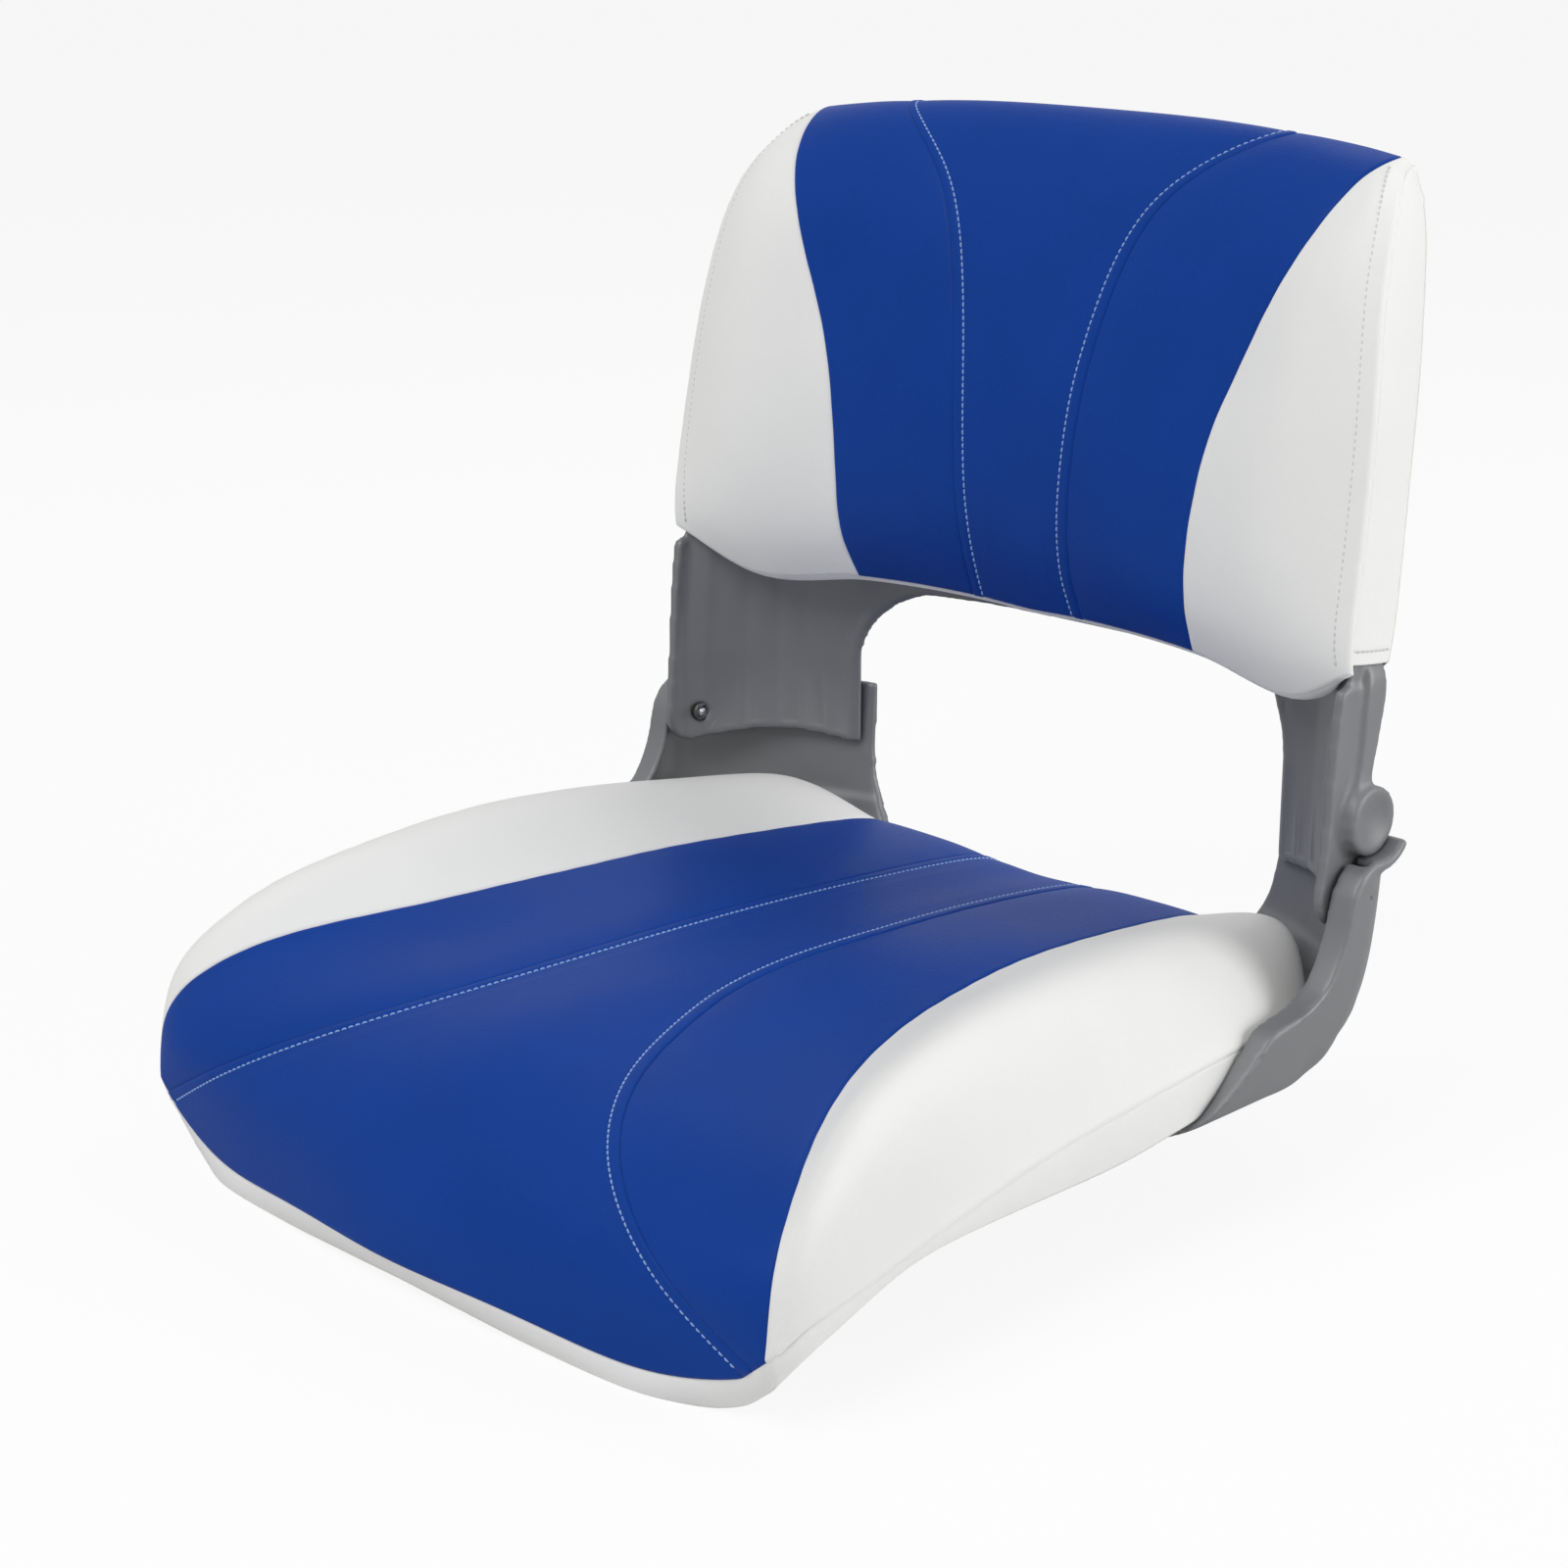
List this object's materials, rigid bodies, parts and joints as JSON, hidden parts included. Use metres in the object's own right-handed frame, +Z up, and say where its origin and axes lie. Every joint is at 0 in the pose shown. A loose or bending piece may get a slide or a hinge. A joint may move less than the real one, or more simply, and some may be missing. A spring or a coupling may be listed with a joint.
{
  "type": "folding boat seat",
  "caption": "Pedestal boat seat with a moulded pan, a sewn vinyl cushion and a padded back that folds forward on hinges between the pan's ears.",
  "frame": {"origin": "middle of the flat underside of the pan, where a pedestal bolts on", "axes": "+Z up, front of the seat towards -Y, the occupant's left towards +X"},
  "size_m": [0.536, 0.5488, 0.545],
  "materials": {
    "grey_plastic": "grey moulded plastic, fine texture",
    "vinyl_blue": "blue marine vinyl, fine grain",
    "vinyl_white": "white marine vinyl, fine grain",
    "foam": "upholstery foam",
    "board": "sealed plywood",
    "steel": "stainless steel",
    "brass": "brass"
  },
  "bodies": {
    "seat": {"seat_shell": "grey_plastic", "mount_nut_1": "steel", "mount_nut_2": "steel", "mount_nut_3": "steel", "mount_nut_4": "steel", "seat_board": "board", "board_screw_1": "steel", "board_screw_2": "steel", "board_screw_3": "steel", "board_screw_4": "steel", "seat_foam": "foam", "seat_cover_centre": "vinyl_blue", "seat_cover_blue_left": "vinyl_blue", "seat_cover_blue_right": "vinyl_blue", "seat_cover_white_left": "vinyl_white", "seat_cover_white_right": "vinyl_white", "seat_cover_band": "vinyl_white", "hinge_screw_left": "steel", "hinge_screw_right": "steel", "hinge_bush_left": "brass", "hinge_bush_right": "brass", "hinge_insert_left": "brass", "hinge_insert_right": "brass"},
    "back": {"back_shell": "grey_plastic", "back_foam": "foam", "back_cover_centre": "vinyl_blue", "back_cover_blue_left": "vinyl_blue", "back_cover_blue_right": "vinyl_blue", "back_cover_white_left": "vinyl_white", "back_cover_white_right": "vinyl_white", "back_cover_rear": "vinyl_white", "back_cover_side_left": "vinyl_white", "back_cover_side_right": "vinyl_white", "back_cover_underside": "vinyl_white"}
  },
  "joints": [
    {"name": "back_fold", "type": "hinge", "parent": "seat", "child": "back", "pos_m": [0, 0.156, 0.164], "axis": [1, 0, 0], "range_deg": [0, 90]}
  ]
}
